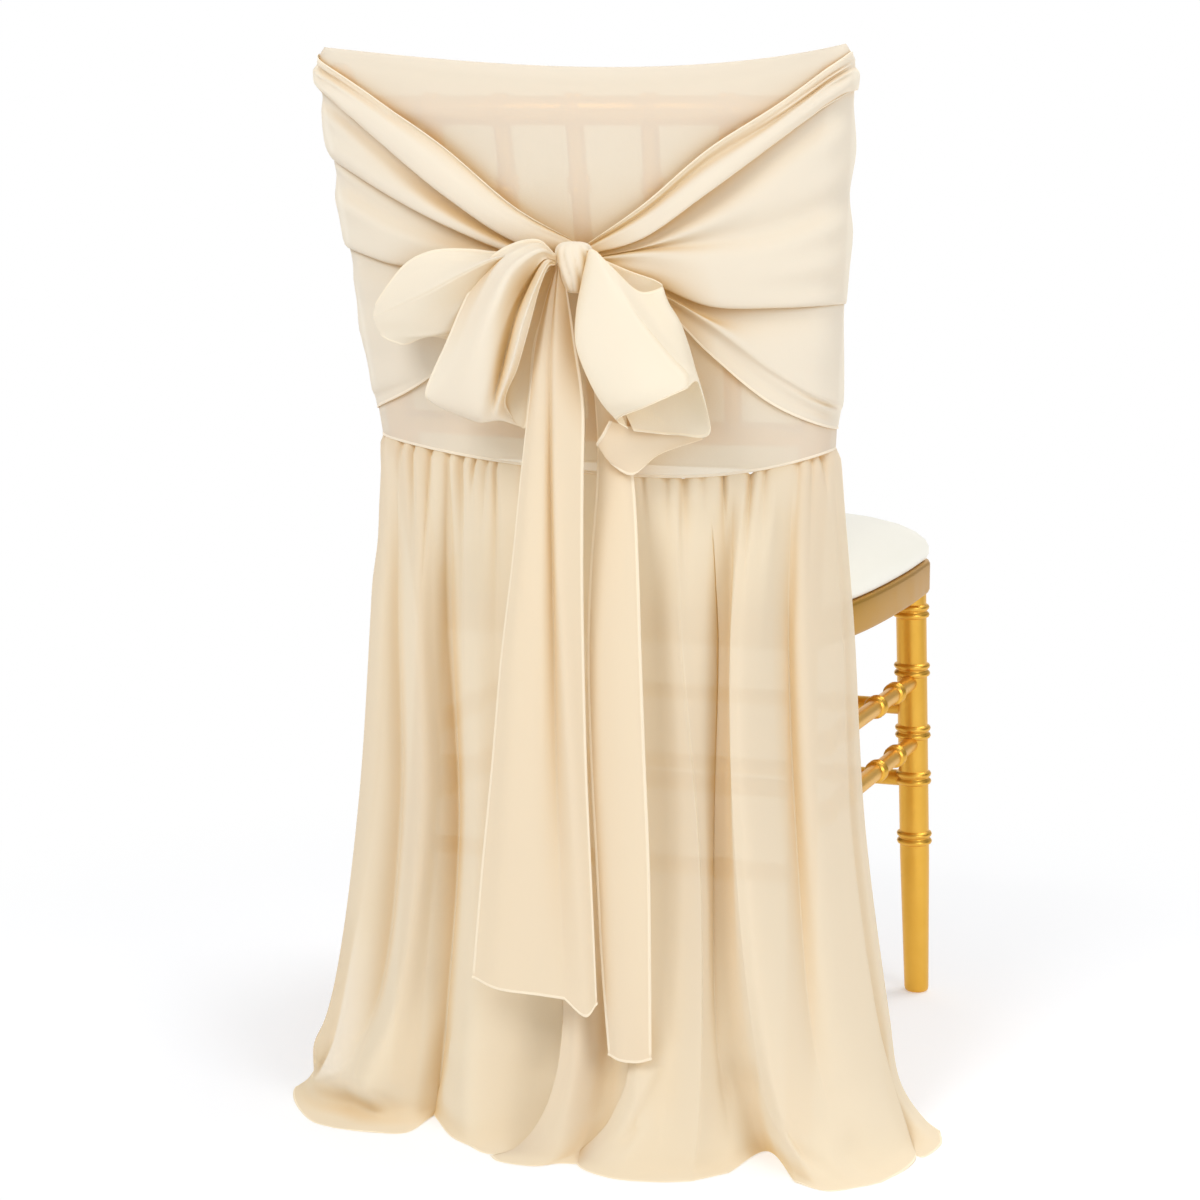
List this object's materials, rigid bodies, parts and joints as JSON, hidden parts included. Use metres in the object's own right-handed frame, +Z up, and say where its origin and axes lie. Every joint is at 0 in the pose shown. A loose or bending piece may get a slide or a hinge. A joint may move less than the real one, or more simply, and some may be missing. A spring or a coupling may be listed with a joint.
{
  "type": "chair cover with sash on a banquet chair",
  "caption": "Sheer chiffon chair-back cover with a gathered floor-length skirt and a tied sash bow, worn by a gold turned banquet chair with a padded seat.",
  "frame": {"origin": "middle of the whole footprint, on the floor", "axes": "+Z up, +Y towards the front of the seat, +X to the right for someone behind the chair"},
  "size_m": [0.5673, 0.5917, 0.9148],
  "materials": {
    "chiffon": "matt sheer champagne chiffon, plain weave, crepe-twisted yarn",
    "gold_frame": "satin gold lacquer",
    "seat_vinyl": "ivory vinyl, low sheen"
  },
  "bodies": {
    "root": {"flap_right": "chiffon", "front_leg_left": "gold_frame", "front_leg_right": "gold_frame", "front_stretcher_lower": "gold_frame", "front_stretcher_upper": "gold_frame", "hood_back": "chiffon", "hood_front": "chiffon", "loop_left_front": "chiffon", "loop_left_outer": "chiffon", "loop_right": "chiffon", "lower_back_rail": "gold_frame", "rear_post_left": "gold_frame", "rear_post_right": "gold_frame", "rear_stretcher_lower": "gold_frame", "rear_stretcher_upper": "gold_frame", "sash_knot": "chiffon", "sash_wing_left": "chiffon", "sash_wing_right": "chiffon", "seat_frame": "gold_frame", "seat_pad": "seat_vinyl", "side_stretcher_left_lower": "gold_frame", "side_stretcher_left_upper": "gold_frame", "side_stretcher_right_lower": "gold_frame", "side_stretcher_right_upper": "gold_frame", "skirt": "chiffon", "spindle_1": "gold_frame", "spindle_2": "gold_frame", "spindle_3": "gold_frame", "spindle_4": "gold_frame", "spindle_5": "gold_frame", "tail_left": "chiffon", "tail_right": "chiffon", "top_rail": "gold_frame"}
  },
  "joints": []
}
